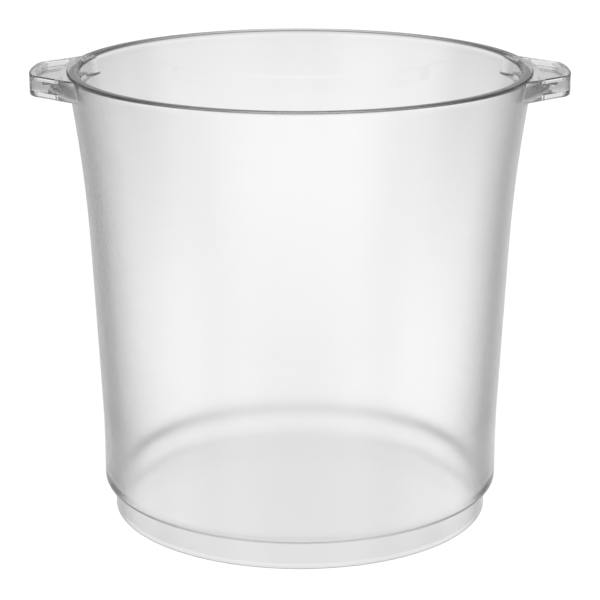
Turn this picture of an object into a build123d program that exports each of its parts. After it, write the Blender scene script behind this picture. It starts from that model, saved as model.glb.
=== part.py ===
from build123d import *
import math
import os

# One-bottle ice bucket in clear plastic. Millimetres, +Z up, handles on the X axis.
# The origin is the centre of the foot's underside, on the table.

# Driving dimensions
RIM_RADIUS = 100.0        # outer edge of the rim
RIM_HEIGHT = 198.0        # height of that outer edge above the table
BODY_RADIUS = 87.7        # body just above its rounded lower corner
FOOT_RADIUS = 83.2
FOOT_HEIGHT = 12.5
WALL_AT_BASE = 7.0        # the inner face runs straight on down inside the foot
WALL_AT_RIM = 5.0
FLOOR_THICKNESS = 1.8
FLOOR_CLEARANCE = 0.2     # the floor stands this far above the table
RIM_BAND = 4.0            # height of the rim ring

# The side rises plumb, eases into a straight lean, then flares towards the rim
PLUMB_TOP = 30.0
LEAN_START = 50.0
FLARE_START = 120.0
FLARE_START_RADIUS = 91.5
FLARE_END = 180.0

# Rounded edges of the body
LOWER_CORNER = 3.0        # lower outer corner of the body
RIM_ROUND = 1.0
FOOT_ROUND = 1.0

# Handle lugs: an I-section, a flange round a web that is recessed above and below
LUG_REACH = 116.0         # outermost point of a lug from the centre line
LUG_END_WIDTH = 34.0      # across the outer end, between its unrounded corners
LUG_END_BOW = 2.2         # the end bows out by this much at its middle
LUG_FLARE = 40.0          # degrees between each side of a lug and the X axis
LUG_CORNER = 8.0
LUG_ROOT_BLEND = 24.0     # radius that runs each side into the body
LUG_TOP = 197.0
LUG_HEIGHT = 9.0
LUG_EDGE_ROUND = 0.9
FLANGE = 2.4
RECESS_DEPTH = 2.1
RECESS_ROOT_CORNER = 1.5

# Sizes that follow from the driving dimensions
FOOT_BORE = BODY_RADIUS - WALL_AT_BASE
LEAN_SLOPE = (FLARE_START_RADIUS - BODY_RADIUS) / (FLARE_START - (PLUMB_TOP + LEAN_START) / 2)
LEAN_START_RADIUS = BODY_RADIUS + LEAN_SLOPE * (LEAN_START - PLUMB_TOP) / 2
FLARE_HALF_HEIGHT = (FLARE_END - FLARE_START) / 2
FLARE_SLOPE = (RIM_RADIUS - FLARE_START_RADIUS - LEAN_SLOPE * FLARE_HALF_HEIGHT) / (
    RIM_HEIGHT - FLARE_START - FLARE_HALF_HEIGHT
)
FLARE_END_RADIUS = RIM_RADIUS - FLARE_SLOPE * (RIM_HEIGHT - FLARE_END)
LUG_BOTTOM = LUG_TOP - LUG_HEIGHT

os.makedirs("parts", exist_ok=True)


def wall_thickness(height):
    """Thickness of the wall, measured level: it thins evenly above the plumb part."""
    rise = max(height - PLUMB_TOP, 0.0) / (RIM_HEIGHT - PLUMB_TOP)
    return WALL_AT_BASE + (WALL_AT_RIM - WALL_AT_BASE) * rise


def no_thickness(height):
    """Stands for the outer face in side_curve."""
    return 0.0


def side_curve(bottom, thickness):
    """Draws the side from bottom to the rim, inward of the outer face by thickness(height)."""

    def at(radius, height):
        return (radius - thickness(height), height)

    plumb = Line(at(BODY_RADIUS, bottom), at(BODY_RADIUS, PLUMB_TOP))
    ease = TangentArc(plumb @ 1, at(LEAN_START_RADIUS, LEAN_START), tangent=plumb % 1)
    lean = Line(ease @ 1, at(FLARE_START_RADIUS, FLARE_START))
    flare = TangentArc(lean @ 1, at(FLARE_END_RADIUS, FLARE_END), tangent=lean % 1)
    lip = Line(flare @ 1, at(RIM_RADIUS, RIM_HEIGHT))
    return plumb @ 0, lip @ 1


def round_corner(section, radius, *corners):
    """Rounds the section's corners that lie at the given points."""
    fillet([section.vertices().sort_by_distance(point)[0] for point in corners], radius)


def side_blank():
    """The whole side from the foot to the rim, before the rim ring is parted from it."""
    with BuildPart() as blank:
        with BuildSketch(Plane.XZ) as section:
            with BuildLine():
                outer_bottom, outer_top = side_curve(FOOT_HEIGHT, no_thickness)
                inner_bottom, inner_top = side_curve(FOOT_HEIGHT, wall_thickness)
                Line(outer_top, inner_top)
                Line(inner_bottom, outer_bottom)
            make_face()
            round_corner(section, LOWER_CORNER, outer_bottom)
            round_corner(section, RIM_ROUND, outer_top, inner_top)
        revolve(axis=Axis.Z)
    return blank.part


def filled_body():
    """The space inside the body's outer face, used to trim the lugs to the wall."""
    with BuildPart() as body:
        with BuildSketch(Plane.XZ):
            with BuildLine():
                outer_bottom, outer_top = side_curve(FOOT_HEIGHT, no_thickness)
                Polyline(outer_top, (0, RIM_HEIGHT), (0, FOOT_HEIGHT), outer_bottom)
            make_face()
        revolve(axis=Axis.Z)
    return body.part


def lug_wedge(inset):
    """The flared plan of the right lug, drawn inward of its edge by inset."""
    flare = math.radians(LUG_FLARE)
    end = LUG_REACH - LUG_END_BOW - inset
    end_half = LUG_END_WIDTH / 2 - inset * (1 / math.cos(flare) - math.tan(flare))
    root = BODY_RADIUS
    root_half = end_half + (end - root) * math.tan(flare)
    with BuildSketch() as wedge:
        with BuildLine():
            end_arc = ThreePointArc((end, -end_half), (end + LUG_END_BOW, 0), (end, end_half))
            Polyline(end_arc @ 1, (root, root_half), (root, -root_half), end_arc @ 0)
        make_face()
    return wedge.sketch


# Side wall of the tub
with BuildPart() as bucket_wall:
    add(side_blank())
    split(bisect_by=Plane.XY.offset(RIM_HEIGHT - RIM_BAND), keep=Keep.BOTTOM)

bucket_wall.part.label = "bucket_wall"
export_step(bucket_wall.part, "parts/bucket_wall.step")

# Rim ring that closes the top of the wall
with BuildPart() as rim_ring:
    add(side_blank())
    split(bisect_by=Plane.XY.offset(RIM_HEIGHT - RIM_BAND), keep=Keep.TOP)

rim_ring.part.label = "rim_ring"
export_step(rim_ring.part, "parts/rim_ring.step")

# Foot ring: the outside steps in at its top, the inside runs straight through
with BuildPart() as foot_ring:
    with BuildSketch(Plane.XY):
        Circle(FOOT_RADIUS)
        Circle(FOOT_BORE, mode=Mode.SUBTRACT)
    extrude(amount=FOOT_HEIGHT)
    outer_edge = foot_ring.edges().group_by(Axis.Z)[0].sort_by(SortBy.RADIUS)[-1]
    fillet(outer_edge, FOOT_ROUND)

foot_ring.part.label = "foot_ring"
export_step(foot_ring.part, "parts/foot_ring.step")

# Floor plate inside the foot ring
with BuildPart() as floor_disc:
    with BuildSketch(Plane.XY.offset(FLOOR_CLEARANCE)):
        Circle(FOOT_BORE)
    extrude(amount=FLOOR_THICKNESS)

floor_disc.part.label = "floor_disc"
export_step(floor_disc.part, "parts/floor_disc.step")

# Right lug handle
with BuildPart() as handle_right:
    with BuildSketch(Plane.XY.offset(LUG_BOTTOM)) as lug_plan:
        add(lug_wedge(0))
        Circle(FLARE_END_RADIUS)
        fillet(lug_plan.vertices().group_by(Axis.X)[-1], LUG_CORNER)
        roots = lug_plan.vertices().filter_by_position(Axis.X, BODY_RADIUS, FLARE_END_RADIUS)
        fillet(roots, LUG_ROOT_BLEND)
    extrude(amount=LUG_HEIGHT)
    level_edges = handle_right.edges().group_by(Axis.Z)
    fillet(level_edges[0] + level_edges[-1], LUG_EDGE_ROUND)
    add(filled_body(), mode=Mode.SUBTRACT)
    for face_height, inward in ((LUG_TOP, -1), (LUG_BOTTOM, 1)):
        with BuildSketch(Plane.XY.offset(face_height)) as recess:
            add(lug_wedge(FLANGE))
            Circle(RIM_RADIUS + FLANGE, mode=Mode.SUBTRACT)
            fillet(recess.vertices().group_by(Axis.X)[-1], LUG_CORNER - FLANGE)
            fillet(recess.vertices().group_by(Axis.X)[0], RECESS_ROOT_CORNER)
        extrude(amount=inward * RECESS_DEPTH, mode=Mode.SUBTRACT)

handle_right.part.label = "handle_right"
export_step(handle_right.part, "parts/handle_right.step")

# Left lug handle, the mirror image of the right one
with BuildPart() as handle_left:
    mirror(handle_right.part, about=Plane.YZ)

handle_left.part.label = "handle_left"
export_step(handle_left.part, "parts/handle_left.step")
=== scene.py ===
import math

import bmesh
import bpy
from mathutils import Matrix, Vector
from mathutils.bvhtree import BVHTree


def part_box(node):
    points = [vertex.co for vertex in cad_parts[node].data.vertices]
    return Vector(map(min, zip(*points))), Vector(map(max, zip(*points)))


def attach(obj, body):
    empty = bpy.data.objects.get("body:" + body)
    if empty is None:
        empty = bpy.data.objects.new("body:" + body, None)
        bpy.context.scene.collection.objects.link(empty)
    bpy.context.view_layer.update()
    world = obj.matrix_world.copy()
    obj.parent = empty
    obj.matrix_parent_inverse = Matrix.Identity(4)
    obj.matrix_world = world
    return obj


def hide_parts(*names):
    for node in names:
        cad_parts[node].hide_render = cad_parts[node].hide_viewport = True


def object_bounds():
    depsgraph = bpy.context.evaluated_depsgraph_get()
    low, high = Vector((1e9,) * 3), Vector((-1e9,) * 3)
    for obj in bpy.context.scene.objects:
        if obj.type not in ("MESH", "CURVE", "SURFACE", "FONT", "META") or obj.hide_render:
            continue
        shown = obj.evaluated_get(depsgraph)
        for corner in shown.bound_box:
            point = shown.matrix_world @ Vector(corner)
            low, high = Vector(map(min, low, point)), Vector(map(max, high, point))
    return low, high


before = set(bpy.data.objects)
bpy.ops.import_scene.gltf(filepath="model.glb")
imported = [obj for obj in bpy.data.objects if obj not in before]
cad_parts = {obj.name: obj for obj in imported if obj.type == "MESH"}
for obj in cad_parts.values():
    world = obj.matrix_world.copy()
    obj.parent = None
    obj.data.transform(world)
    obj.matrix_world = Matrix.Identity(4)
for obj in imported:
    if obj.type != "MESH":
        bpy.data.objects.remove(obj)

cad_low, cad_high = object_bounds()
MM = 0.001

# ---------------------------------------------------------------- sizes read from the frame
wall_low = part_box("bucket_wall")[0]
rim_low, rim_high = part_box("rim_ring")
foot_low, foot_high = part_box("foot_ring")
floor_low, floor_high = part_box("floor_disc")
lug_low, lug_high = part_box("handle_right")

# Rounded edges: the body's and the foot's as on the CAD parts, the rim's crisper outside, fuller inside
LOWER_CORNER = 3 * MM
RIM_OUTER_ROUND = 0.6 * MM
RIM_INNER_ROUND = 2.5 * MM
FOOT_ROUND = 1 * MM
BORE_ROUND = 0.3 * MM     # broken edge of the foot's bore

TOUCH = 0.01 * MM         # slack when a face is looked up by its place
ON_WALL = 0.8 * MM        # the lugs' root faces lie within this of the wall's outer face
ABOVE_CORNER = 8 * MM     # this far above its lower edge the body is plumb
TURN_STEPS = 384          # facets round each turned piece
SIDE_STEPS = 60           # rings up the side
CORNER_STEPS = 10         # steps round a rounded edge
RIM_CORNER_STEPS = 14
SHARP_ANGLE = 40          # degrees; edges that turn more than this stay crisp

# How far a face's normal leans, from -1 to 1, for the face to count as one of these
LEANS_OUT = 0.2
LEANS_DOWN = -0.3
SQUARE_ON = 0.9


def surface(name):
    """The faces of a CAD node, ready to be found by a ray."""
    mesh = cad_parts[name].data
    return BVHTree.FromPolygons(
        [vertex.co for vertex in mesh.vertices],
        [polygon.vertices for polygon in mesh.polygons],
    )


SURFACES = {name: surface(name) for name in ("bucket_wall", "rim_ring")}


def face_radius(node, height, outer):
    """Radius of a round CAD node's outer or inner face at a height."""
    start = Vector((2 * cad_high.x if outer else 0.0, 0.0, height))
    direction = Vector((-1 if outer else 1, 0, 0))
    place = SURFACES[node].ray_cast(start, direction)[0]
    return place.x


joint_z = rim_low.z
plumb_z = wall_low.z + ABOVE_CORNER
body_radius = face_radius("bucket_wall", plumb_z, outer=True)
bore = floor_high.x
foot_radius = foot_high.x


# ---------------------------------------------------------------- profile helpers
def arc_corner(before, corner, after, radius, steps):
    """Points of the arc that rounds the corner between two straight runs."""
    a = (Vector(before) - Vector(corner)).normalized()
    b = (Vector(after) - Vector(corner)).normalized()
    half = a.angle(b) / 2
    centre = Vector(corner) + (a + b).normalized() * (radius / math.sin(half))
    start = Vector(corner) + a * radius / math.tan(half) - centre
    end = Vector(corner) + b * radius / math.tan(half) - centre
    turn = start.angle(end)
    points = []
    for i in range(steps + 1):
        t = i / steps
        spoke = (start * math.sin((1 - t) * turn) + end * math.sin(t * turn)) / math.sin(turn)
        points.append(tuple(centre + spoke))
    return points


def rounded_outline(corners, steps=CORNER_STEPS):
    """A closed outline from (point, radius) corners; radius 0 keeps a corner sharp."""
    outline = []
    for i, (corner, radius) in enumerate(corners):
        before = corners[i - 1][0]
        after = corners[(i + 1) % len(corners)][0]
        if radius:
            outline += arc_corner(before, corner, after, radius, steps)
        else:
            outline.append(tuple(corner))
    return outline


def lathe(name, outline):
    """A closed ring or disc turned about Z from a closed outline of (radius, height) points."""
    mesh = bpy.data.meshes.new(name)
    bm = bmesh.new()
    rings = []
    for radius, height in outline:
        if radius < TOUCH:
            rings.append([bm.verts.new((0, 0, height))] * TURN_STEPS)
            continue
        ring = []
        for i in range(TURN_STEPS):
            angle = 2 * math.pi * i / TURN_STEPS
            ring.append(bm.verts.new((radius * math.cos(angle), radius * math.sin(angle), height)))
        rings.append(ring)
    for k, ring in enumerate(rings):
        following = rings[(k + 1) % len(rings)]
        for i in range(TURN_STEPS):
            j = (i + 1) % TURN_STEPS
            corners = dict.fromkeys([ring[i], ring[j], following[j], following[i]])
            if len(corners) > 2:
                bm.faces.new(list(corners))
    bmesh.ops.recalc_face_normals(bm, faces=bm.faces)
    for face in bm.faces:
        face.smooth = True
    bm.to_mesh(mesh)
    bm.free()
    piece = bpy.data.objects.new(name, mesh)
    bpy.context.scene.collection.objects.link(piece)
    mesh.set_sharp_from_angle(angle=math.radians(SHARP_ANGLE))
    return piece


def side_points(outer):
    """(radius, height) corners up the wall's outer or inner face, from the plumb part to the rim."""
    points = []
    top = joint_z - TOUCH
    for i in range(SIDE_STEPS + 1):
        height = plumb_z + (top - plumb_z) * i / SIDE_STEPS
        points.append(((face_radius("bucket_wall", height, outer), height), 0))
    return points


# ---------------------------------------------------------------- shader helpers
NOISE_ROUGHNESS = 0.6     # how strong the finer layers of each noise are


def new_material(name):
    material = bpy.data.materials.new(name)
    material.use_nodes = True
    material.node_tree.nodes.clear()
    return material, material.node_tree


def node(tree, kind, **inputs):
    """Adds a node and sets its inputs by name, with _ for a space."""
    made = tree.nodes.new(kind)
    for key, value in inputs.items():
        connect(tree, value, made.inputs[key.replace("_", " ")])
    return made


def connect(tree, value, socket):
    """Links a socket into another, or sets a plain value on it."""
    if isinstance(value, bpy.types.NodeSocket):
        tree.links.new(value, socket)
    else:
        socket.default_value = value


def maths(tree, operation, *values):
    made = tree.nodes.new("ShaderNodeMath")
    made.operation = operation
    for socket, value in zip(made.inputs, values):
        connect(tree, value, socket)
    return made.outputs[0]


def mix_shaders(tree, factor, first, second):
    made = tree.nodes.new("ShaderNodeMixShader")
    connect(tree, factor, made.inputs[0])
    connect(tree, first, made.inputs[1])
    connect(tree, second, made.inputs[2])
    return made.outputs[0]


def finish_material(tree, shader):
    out = tree.nodes.new("ShaderNodeOutputMaterial")
    tree.links.new(shader, out.inputs["Surface"])


def place(tree):
    """Position on the bucket in metres, the same on every piece, so patterns run on across joints."""
    return tree.nodes.new("ShaderNodeNewGeometry").outputs["Position"]


def stretched(tree, scale):
    """The position scaled by a different factor on each axis."""
    mapping = node(tree, "ShaderNodeMapping", Vector=place(tree), Scale=scale)
    return mapping.outputs[0]


def noise(tree, scale, detail, vector=None):
    made = node(tree, "ShaderNodeTexNoise", Scale=scale, Detail=detail, Roughness=NOISE_ROUGHNESS)
    tree.links.new(vector or place(tree), made.inputs["Vector"])
    return made.outputs[0]


def varied(tree, middle, spread, pattern):
    """A value that swings by spread about middle as the pattern swings about a half."""
    return maths(tree, "MULTIPLY_ADD", pattern, 2 * spread, middle - spread)


def bump(tree, height, depth):
    """A normal disturbed by a height pattern of the given depth in metres."""
    return node(tree, "ShaderNodeBump", Height=height, Distance=depth, Strength=1.0).outputs[0]


# ---------------------------------------------------------------- plastics
IOR = 1.49
CLEAR_ROUGHNESS = 0.02
FROST_ROUGHNESS = 0.2
FROST_SPREAD = 0.015      # how far the frosting's roughness swings between worn and unworn patches
FROST_GRAIN = 2500        # noise scale of the frosting, about 0.4 mm across a grain
FROST_DEPTH = 0.0006 * MM  # height of a grain
HANDLING_SCALE = 45       # noise scale of the wider, worn patches
SCRATCH_SCALE = 600       # noise scale of hairlines, and of the foot's scuffs and its painted contact shade
SCRATCH_STRETCH = (1, 1, 0.04)  # draws the hairlines out along Z
SCUFF_ROUGHNESS = 0.45
# Painted shade: a flat grey mixed into the foot's underside where it stands on the table
CONTACT_SHADE_GREY = (0.35, 0.35, 0.35, 1)
CONTACT_SHADE_COVER = 0.6         # share of the foot's underside painted flat grey as shade where it meets the table
LUG_SEAM = 3 * MM         # width over which the joint between a lug and the wall fades in
LUG_BOND = 0.6            # how clearly the middle of a lug shows through the wall


def clear_roughness(tree):
    """Polished plastic with hairline marks that run up and down and a slight haze in patches."""
    hairlines = noise(tree, SCRATCH_SCALE, 2, stretched(tree, SCRATCH_STRETCH))
    haze = noise(tree, HANDLING_SCALE, 3)
    marks = maths(tree, "MULTIPLY", hairlines, haze)
    return varied(tree, CLEAR_ROUGHNESS, CLEAR_ROUGHNESS / 2, marks)


def clear_plastic():
    material, tree = new_material("clear_plastic")
    glass = node(tree, "ShaderNodeBsdfGlass", Roughness=clear_roughness(tree), IOR=IOR)
    finish_material(tree, glass.outputs[0])
    return material


def faded_in(tree, value, start):
    """0 below start, rising smoothly to 1 over the width of the seam."""
    made = node(
        tree,
        "ShaderNodeMapRange",
        Value=value,
        From_Min=start,
        From_Max=start + LUG_SEAM,
    )
    made.interpolation_type = "SMOOTHSTEP"
    return made.outputs[0]


def under_a_lug(tree):
    """How far the wall's outer face is one with a lug: 0 beside the lugs, fading in behind them."""
    x, y, z = node(tree, "ShaderNodeSeparateXYZ", Vector=place(tree)).outputs
    above = faded_in(tree, z, lug_low.z)
    below = faded_in(tree, maths(tree, "MULTIPLY", z, -1.0), -lug_high.z)
    beside = maths(tree, "MULTIPLY", maths(tree, "ABSOLUTE", y), -1.0)
    across = faded_in(tree, beside, -lug_high.y)
    at_side = maths(tree, "GREATER_THAN", maths(tree, "ABSOLUTE", x), body_radius / 2)
    inside = maths(tree, "MULTIPLY", above, below)
    inside = maths(tree, "MULTIPLY", inside, across)
    inside = maths(tree, "MULTIPLY", inside, LUG_BOND)
    return maths(tree, "MULTIPLY", inside, at_side)


def frosted_plastic():
    """Satin outer face: fine grain, slightly polished in patches where hands have rubbed it."""
    material, tree = new_material("frosted_plastic")
    grain = noise(tree, FROST_GRAIN, 2)
    worn = noise(tree, HANDLING_SCALE, 4)
    roughness = varied(tree, FROST_ROUGHNESS, FROST_SPREAD, worn)
    glass = node(
        tree,
        "ShaderNodeBsdfGlass",
        Roughness=roughness,
        IOR=IOR,
        Normal=bump(tree, grain, FROST_DEPTH),
    )
    joined = tree.nodes.new("ShaderNodeBsdfTransparent").outputs[0]
    finish_material(tree, mix_shaders(tree, under_a_lug(tree), glass.outputs[0], joined))
    return material


def sheet_plastic():
    """Top of the floor plate: the plate's two parallel faces shine and pass light as one."""
    material, tree = new_material("floor_sheet")
    one_face = node(tree, "ShaderNodeFresnel", IOR=IOR).outputs[0]
    both = maths(tree, "DIVIDE", maths(tree, "MULTIPLY", one_face, 2.0), maths(tree, "ADD", one_face, 1.0))
    shine = node(tree, "ShaderNodeBsdfGlossy", Roughness=clear_roughness(tree), Color=(1, 1, 1, 1))
    through = tree.nodes.new("ShaderNodeBsdfTransparent").outputs[0]
    finish_material(tree, mix_shaders(tree, both, through, shine.outputs[0]))
    return material


def scuffed_and_shaded_plastic():
    """Underside of the foot: rough where worn by sliding on tables, with a flat grey diffuse mixed in
    patches as painted shade where the foot meets the table.
    """
    material, tree = new_material("scuffed_foot_painted_shade")
    worn = noise(tree, SCRATCH_SCALE, 4)
    roughness = varied(tree, SCUFF_ROUGHNESS, FROST_SPREAD, worn)
    glass = node(tree, "ShaderNodeBsdfGlass", Roughness=roughness, IOR=IOR)
    # Painted shade: this grey diffuse stands in for the dark line where the foot meets the table
    painted_shade_grey = node(tree, "ShaderNodeBsdfDiffuse", Color=CONTACT_SHADE_GREY)
    cover = varied(tree, CONTACT_SHADE_COVER, 1 - CONTACT_SHADE_COVER, worn)
    finish_material(tree, mix_shaders(tree, cover, glass.outputs[0], painted_shade_grey.outputs[0]))
    return material


def joined_face():
    """Faces where two pieces are one moulding: light passes straight on."""
    material, tree = new_material("joined_face")
    finish_material(tree, tree.nodes.new("ShaderNodeBsdfTransparent").outputs[0])
    return material


FROSTED, CLEAR, JOINED, SHEET, SCUFFED_AND_SHADED = range(5)
PLASTICS = [frosted_plastic(), clear_plastic(), joined_face(), sheet_plastic(), scuffed_and_shaded_plastic()]


def assign(piece, choose):
    """Gives each face the plastic that choose(centre, normal) returns."""
    for material in PLASTICS:
        piece.data.materials.append(material)
    for polygon in piece.data.polygons:
        polygon.material_index = choose(polygon.center, polygon.normal)


def outward(centre, normal):
    """1 for a face that looks straight away from the centre line, -1 for one that looks at it."""
    return Vector((centre.x, centre.y, 0)).normalized().dot(normal)


# ---------------------------------------------------------------- tub wall
def wall_outline():
    """The wall from its step above the foot to the joint with the rim, outside then inside."""
    corners = [
        ((bore, wall_low.z), 0),
        ((foot_radius, wall_low.z), 0),
        ((body_radius, wall_low.z), LOWER_CORNER),
    ]
    return rounded_outline(corners + side_points(outer=True) + side_points(outer=False)[::-1])


def wall_face(centre, normal):
    if centre.z > joint_z - 2 * TOUCH and normal.z > SQUARE_ON:
        return JOINED
    if centre.z < wall_low.z + TOUCH and centre.xy.length < foot_radius:
        return JOINED
    if outward(centre, normal) > LEANS_OUT or normal.z < LEANS_DOWN:
        return FROSTED
    return CLEAR


# ---------------------------------------------------------------- rim
def rim_outline():
    """The rim ring, whose two sides carry on the slope of the wall's outer face."""
    low = joint_z + TOUCH
    high = joint_z + (rim_high.z - joint_z) / 2
    inside = face_radius("rim_ring", low, outer=False)
    outside = face_radius("rim_ring", low, outer=True)
    slope = (face_radius("rim_ring", high, outer=True) - outside) / (high - low)
    spread = slope * (rim_high.z - joint_z)
    return rounded_outline([
        ((inside, joint_z), 0),
        ((outside, joint_z), 0),
        ((outside + spread, rim_high.z), RIM_OUTER_ROUND),
        ((inside + spread, rim_high.z), RIM_INNER_ROUND),
    ], steps=RIM_CORNER_STEPS)


def rim_face(centre, normal):
    if centre.z < joint_z + TOUCH:
        return JOINED
    if outward(centre, normal) > SQUARE_ON and centre.z < lug_high.z:
        return FROSTED
    return CLEAR


# ---------------------------------------------------------------- foot and floor
def foot_outline():
    """A straight ring, rounded where it stands on the table."""
    return rounded_outline([
        ((foot_radius, foot_low.z), FOOT_ROUND),
        ((foot_radius, foot_high.z), 0),
        ((bore, foot_high.z), 0),
        ((bore, foot_low.z), BORE_ROUND),
    ])


def foot_face(centre, normal):
    if centre.z > foot_high.z - TOUCH:
        return JOINED
    # Faces looking down get the worn plastic with the painted contact shade
    if normal.z < LEANS_DOWN:
        return SCUFFED_AND_SHADED
    return FROSTED if outward(centre, normal) > LEANS_OUT else CLEAR


def floor_outline():
    """A flat disc that just clears the foot's bore."""
    edge = bore - TOUCH
    return [(0, floor_low.z), (edge, floor_low.z), (edge, floor_high.z), (0, floor_high.z)]


def floor_face(centre, normal):
    return SHEET if normal.z > SQUARE_ON else JOINED


for name, outline, choose, cad_node, slot_name in (
    ("tub_wall", wall_outline(), wall_face, "bucket_wall", "frosted_plastic"),
    ("rim_band", rim_outline(), rim_face, "rim_ring", "clear_plastic"),
    ("foot_band", foot_outline(), foot_face, "foot_ring", "frosted_plastic"),
    ("floor_plate", floor_outline(), floor_face, "floor_disc", "clear_plastic"),
):
    piece = lathe(name, outline)
    assign(piece, choose)
    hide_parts(cad_node)
    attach(piece, "root")

# ---------------------------------------------------------------- lugs, which keep their CAD shape
def lug_face(centre, normal):
    """The lug's root, where it meets the wall, is joined; the rest is clear."""
    height = min(centre.z, joint_z - TOUCH)
    gap = abs(centre.xy.length - face_radius("bucket_wall", height, outer=True))
    return JOINED if gap < ON_WALL and outward(centre, normal) < -SQUARE_ON else CLEAR


for name in ("handle_left", "handle_right"):
    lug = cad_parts[name]
    lug.data.materials.clear()
    assign(lug, lug_face)


# ---------------------------------------------------------------- stage and camera
WHITE = (1, 1, 1, 1)
BACKDROP = 1.05           # the plain white the camera sees behind the bucket
FLOOR_SIZE = 20
FLOOR_DROP = 0.2 * MM     # keeps the stage floor clear of the foot


def stage_floor():
    """A plain white floor that only the camera sees, so the plastic is lit by the studio alone."""
    bm = bmesh.new()
    bmesh.ops.create_grid(bm, x_segments=1, y_segments=1, size=FLOOR_SIZE)
    mesh = bpy.data.meshes.new("stage_floor")
    bm.to_mesh(mesh)
    bm.free()
    floor = bpy.data.objects.new("stage_floor", mesh)
    floor.location.z = cad_low.z - FLOOR_DROP
    bpy.context.scene.collection.objects.link(floor)
    material, tree = new_material("stage_floor")
    unseen = tree.nodes.new("ShaderNodeBsdfTransparent").outputs[0]
    glow = node(tree, "ShaderNodeEmission", Color=WHITE, Strength=BACKDROP).outputs[0]
    camera_ray = tree.nodes.new("ShaderNodeLightPath").outputs["Is Camera Ray"]
    finish_material(tree, mix_shaders(tree, camera_ray, unseen, glow))
    mesh.materials.append(material)


CAMERA_HEIGHT = 0.3649    # metres above the table
CAMERA_BACK = 0.9205      # metres in front of the bucket's centre line
CAMERA_DOWN = 16.444      # degrees below level
LENS = 129.9              # focal length and sensor width in millimetres
SENSOR = 36


def camera():
    data = bpy.data.cameras.new("camera")
    data.lens = LENS
    data.sensor_width = SENSOR
    eye = bpy.data.objects.new("camera", data)
    eye.location = (0, -CAMERA_BACK, CAMERA_HEIGHT)
    eye.rotation_euler = (math.radians(90 - CAMERA_DOWN), 0, 0)
    bpy.context.scene.collection.objects.link(eye)
    bpy.context.scene.camera = eye


# ---------------------------------------------------------------- studio light
# Soft boxes stay with the camera, so the bucket is lit alike from every side. For each one: degrees to
# the right and up from the way the camera looks, angles where it starts and ends to fade, and its level.
AMBIENT = 0.08            # even light from everywhere
SOFT_BOXES = {
    "backdrop": (0, -3, 5, 17, 0.68),
    "backdrop top": (0, 15, 5, 17, 0.25),
    "backdrop left": (-19, -5, 5, 17, 0.62),
    "backdrop right": (19, -5, 5, 17, 0.72),
    "glow low behind": (0, -45, 10, 30, 0.49),
    "glow high behind": (0, 40, 8, 30, 0.4),
    "left wall": (-55, -5, 12, 30, 0.4),
    "right wall": (55, -5, 12, 30, 0.4),
    "left side": (-88, -5, 12, 30, 0.2),
    "right side": (88, -5, 12, 30, 0.2),
    "left front": (-125, -5, 15, 45, 1.35),
    "right front": (125, -5, 15, 45, 0.95),
    "table": (0, -85, 15, 45, 0.47),
    "low front": (0, -130, 15, 50, 1.7),
    "behind camera": (180, 5, 15, 50, 0.1),
}


def soft_box(tree, direction, right, up, inner, outer, level):
    """Light that fills a round patch of the sky round the camera and fades at its edge."""
    turn = math.radians(right)
    rise = math.radians(up)
    axis = (math.sin(turn) * math.cos(rise), math.sin(rise), math.cos(turn) * math.cos(rise))
    facing = tree.nodes.new("ShaderNodeVectorMath")
    facing.operation = "DOT_PRODUCT"
    connect(tree, direction, facing.inputs[0])
    connect(tree, axis, facing.inputs[1])
    fade = node(
        tree,
        "ShaderNodeMapRange",
        Value=facing.outputs["Value"],
        From_Min=math.cos(math.radians(outer)),
        From_Max=math.cos(math.radians(inner)),
        To_Min=0.0,
        To_Max=level,
    )
    fade.interpolation_type = "SMOOTHSTEP"
    return fade.outputs[0]


def studio():
    """The sky of soft boxes, with plain white where the camera looks past the bucket."""
    made = bpy.data.worlds.new("studio")
    bpy.context.scene.world = made
    made.use_nodes = True
    tree = made.node_tree
    tree.nodes.clear()
    ray = tree.nodes.new("ShaderNodeTexCoord").outputs["Camera"]
    unit = tree.nodes.new("ShaderNodeVectorMath")
    unit.operation = "NORMALIZE"
    connect(tree, ray, unit.inputs[0])
    total = AMBIENT
    for box in SOFT_BOXES.values():
        total = maths(tree, "ADD", total, soft_box(tree, unit.outputs[0], *box))
    lit = node(tree, "ShaderNodeBackground", Color=WHITE, Strength=total)
    seen = node(tree, "ShaderNodeBackground", Color=WHITE, Strength=BACKDROP)
    camera_ray = tree.nodes.new("ShaderNodeLightPath").outputs["Is Camera Ray"]
    out = tree.nodes.new("ShaderNodeOutputWorld")
    shader = mix_shaders(tree, camera_ray, lit.outputs[0], seen.outputs[0])
    tree.links.new(shader, out.inputs["Surface"])


stage_floor()
camera()
studio()

# Clear plastic needs many bounces; the joined faces are passed as transparent ones
CLEAR_BOUNCES = 12
GLOSSY_BOUNCES = 8
JOINED_BOUNCES = 32

scene = bpy.context.scene
scene.view_settings.view_transform = "Standard"
scene.cycles.max_bounces = CLEAR_BOUNCES
scene.cycles.transmission_bounces = CLEAR_BOUNCES
scene.cycles.glossy_bounces = GLOSSY_BOUNCES
scene.cycles.transparent_max_bounces = JOINED_BOUNCES
